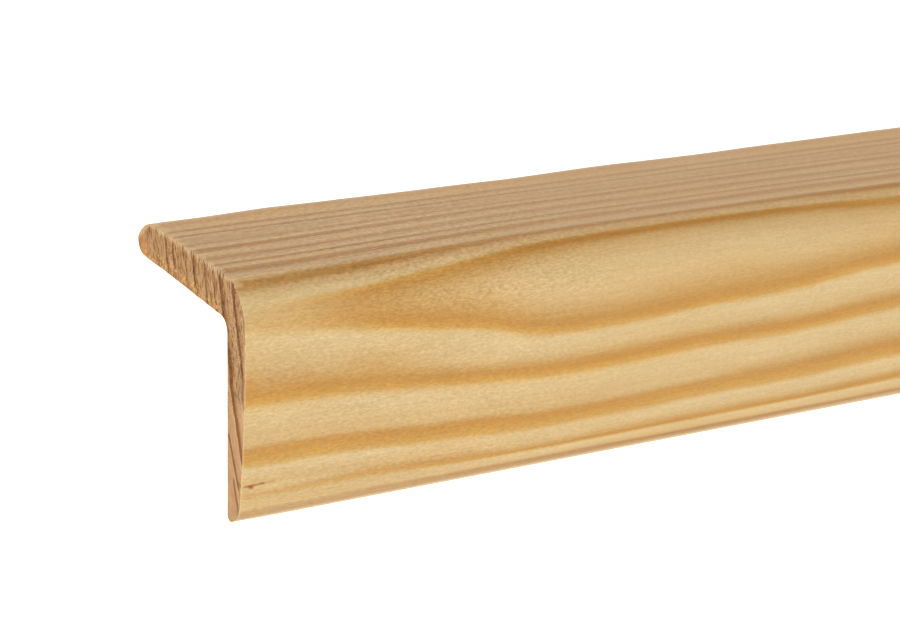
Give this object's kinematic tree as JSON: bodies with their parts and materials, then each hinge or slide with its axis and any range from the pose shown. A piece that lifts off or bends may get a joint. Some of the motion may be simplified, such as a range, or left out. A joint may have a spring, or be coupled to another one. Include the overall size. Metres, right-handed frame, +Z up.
{
  "type": "corner guard moulding",
  "caption": "Length of planed softwood angle moulding with a rounded outer corner and rounded free edges, for covering an outside wall corner.",
  "frame": {"origin": "centre of the bounding box on the floor, at the middle of the length, with the moulding lying ridge up on its two free edges", "axes": "+X along the stock, +Y across it towards the wider leg's free edge, +Z up from the floor to the ridge"},
  "size_m": [2.4, 0.0368, 0.0213],
  "materials": {
    "pine": "planed, unfinished pine with wide orange latewood bands, sawn end grain"
  },
  "bodies": {
    "root": {"corner_guard": "pine"}
  },
  "joints": []
}
